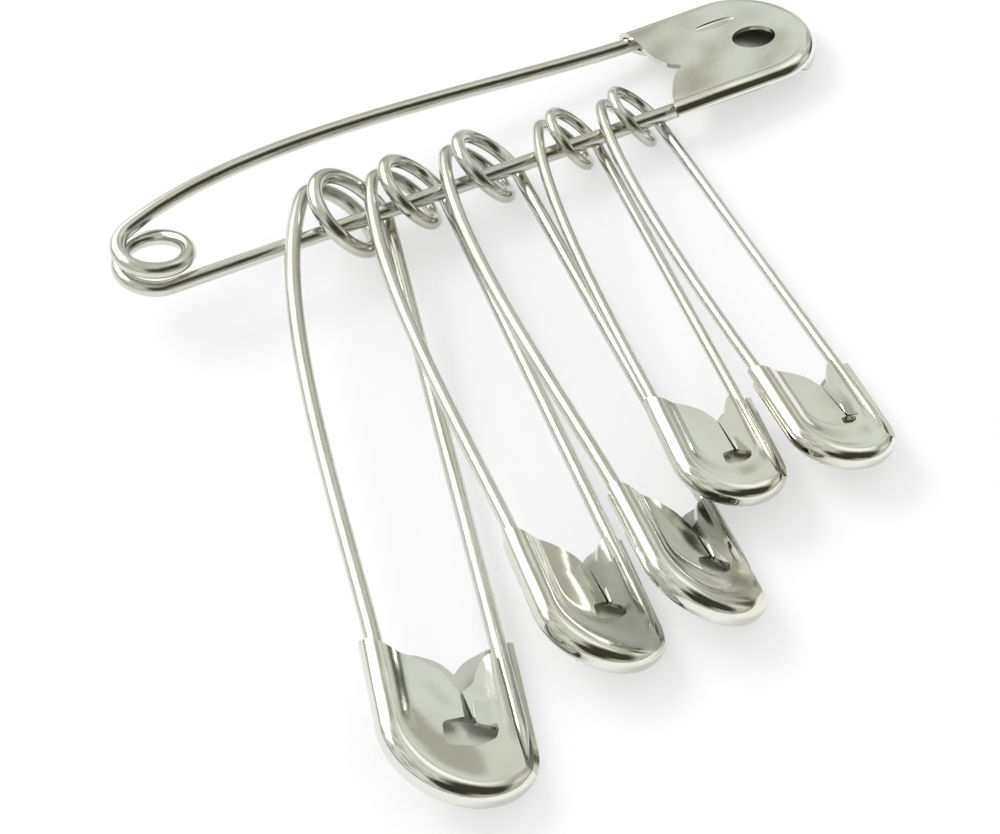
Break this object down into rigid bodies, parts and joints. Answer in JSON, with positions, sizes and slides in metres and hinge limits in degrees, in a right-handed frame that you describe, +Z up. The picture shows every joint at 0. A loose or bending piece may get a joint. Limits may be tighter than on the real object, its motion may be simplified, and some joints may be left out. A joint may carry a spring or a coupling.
{
  "type": "safety pin",
  "caption": "Bunch of closed sprung wire safety pins with pressed caps, strung by their coils on the arm of a larger carrier pin.",
  "frame": {"origin": "middle of the bounding box at the level of the surface the bunch rests on", "axes": "+X along the carrier pin from its coil to its cap, +Z up, strung pins lie towards -Y"},
  "size_m": [0.0618, 0.0578, 0.0071],
  "materials": {
    "bow": "bright nickel plate",
    "coil": "bright nickel plate",
    "arm": "bright nickel plate",
    "cap": "bright nickel plate"
  },
  "bodies": {
    "carrier_pin": {"carrier_bow": "bow", "carrier_coil": "coil", "carrier_cap": "cap"},
    "carrier_point": {"carrier_arm": "arm"},
    "pin1_pin": {"pin1_bow": "bow", "pin1_coil": "coil", "pin1_cap": "cap"},
    "pin1_point": {"pin1_arm": "arm"},
    "pin2_pin": {"pin2_bow": "bow", "pin2_coil": "coil", "pin2_cap": "cap"},
    "pin2_point": {"pin2_arm": "arm"},
    "pin3_pin": {"pin3_bow": "bow", "pin3_coil": "coil", "pin3_cap": "cap"},
    "pin3_point": {"pin3_arm": "arm"},
    "pin4_pin": {"pin4_bow": "bow", "pin4_coil": "coil", "pin4_cap": "cap"},
    "pin4_point": {"pin4_arm": "arm"},
    "pin5_pin": {"pin5_bow": "bow", "pin5_coil": "coil", "pin5_cap": "cap"},
    "pin5_point": {"pin5_arm": "arm"}
  },
  "joints": [
    {"name": "carrier_opening", "type": "hinge", "parent": "carrier_pin", "child": "carrier_point", "pos_m": [-0.02253, 0.02073, 0.00452], "axis": [-0.0739, 0.4067, -0.9106], "range_deg": [0, 40]},
    {"name": "pin1_swing", "type": "hinge", "parent": "carrier_point", "child": "pin1_pin", "pos_m": [-0.00864, 0.0202, 0.00372], "axis": [0.9976, -0.0379, -0.0574], "range_deg": [-140, 160]},
    {"name": "pin1_opening", "type": "hinge", "parent": "pin1_pin", "child": "pin1_point", "pos_m": [-0.00583, 0.02033, 0.00233], "axis": [-0.07, 0.0122, 0.9975], "range_deg": [0, 7]},
    {"name": "pin2_swing", "type": "hinge", "parent": "carrier_point", "child": "pin2_pin", "pos_m": [-0.00365, 0.02001, 0.00344], "axis": [0.9976, -0.0379, -0.0574], "range_deg": [-140, 160]},
    {"name": "pin2_opening", "type": "hinge", "parent": "pin2_pin", "child": "pin2_point", "pos_m": [-0.00112, 0.02048, 0.00216], "axis": [-0.0024, -0.0103, 0.9999], "range_deg": [0, 6]},
    {"name": "pin3_swing", "type": "hinge", "parent": "carrier_point", "child": "pin3_pin", "pos_m": [0.00217, 0.01979, 0.0031], "axis": [0.9976, -0.0379, -0.0574], "range_deg": [-140, 160]},
    {"name": "pin3_opening", "type": "hinge", "parent": "pin3_pin", "child": "pin3_point", "pos_m": [0.00472, 0.02034, 0.00181], "axis": [0.1037, -0.0144, 0.9945], "range_deg": [0, 31]},
    {"name": "pin4_swing", "type": "hinge", "parent": "carrier_point", "child": "pin4_pin", "pos_m": [0.00901, 0.01953, 0.00271], "axis": [0.9976, -0.0379, -0.0574], "range_deg": [-140, 160]},
    {"name": "pin4_opening", "type": "hinge", "parent": "pin4_pin", "child": "pin4_point", "pos_m": [0.01106, 0.01986, 0.0015], "axis": [-0.2129, 0.0762, 0.9741], "range_deg": [0, 1.5]},
    {"name": "pin5_swing", "type": "hinge", "parent": "carrier_point", "child": "pin5_pin", "pos_m": [0.01411, 0.01934, 0.00242], "axis": [0.9976, -0.0379, -0.0574], "range_deg": [-140, 160]},
    {"name": "pin5_opening", "type": "hinge", "parent": "pin5_pin", "child": "pin5_point", "pos_m": [0.0162, 0.01986, 0.00121], "axis": [-0.1946, 0.0461, 0.9798], "range_deg": [0, 40]}
  ],
  "couplings": [
    {"joint": "pin2_swing", "follows": "pin1_swing", "ratio": 1},
    {"joint": "pin3_swing", "follows": "pin1_swing", "ratio": 1},
    {"joint": "pin4_swing", "follows": "pin1_swing", "ratio": 1},
    {"joint": "pin5_swing", "follows": "pin1_swing", "ratio": 1}
  ]
}
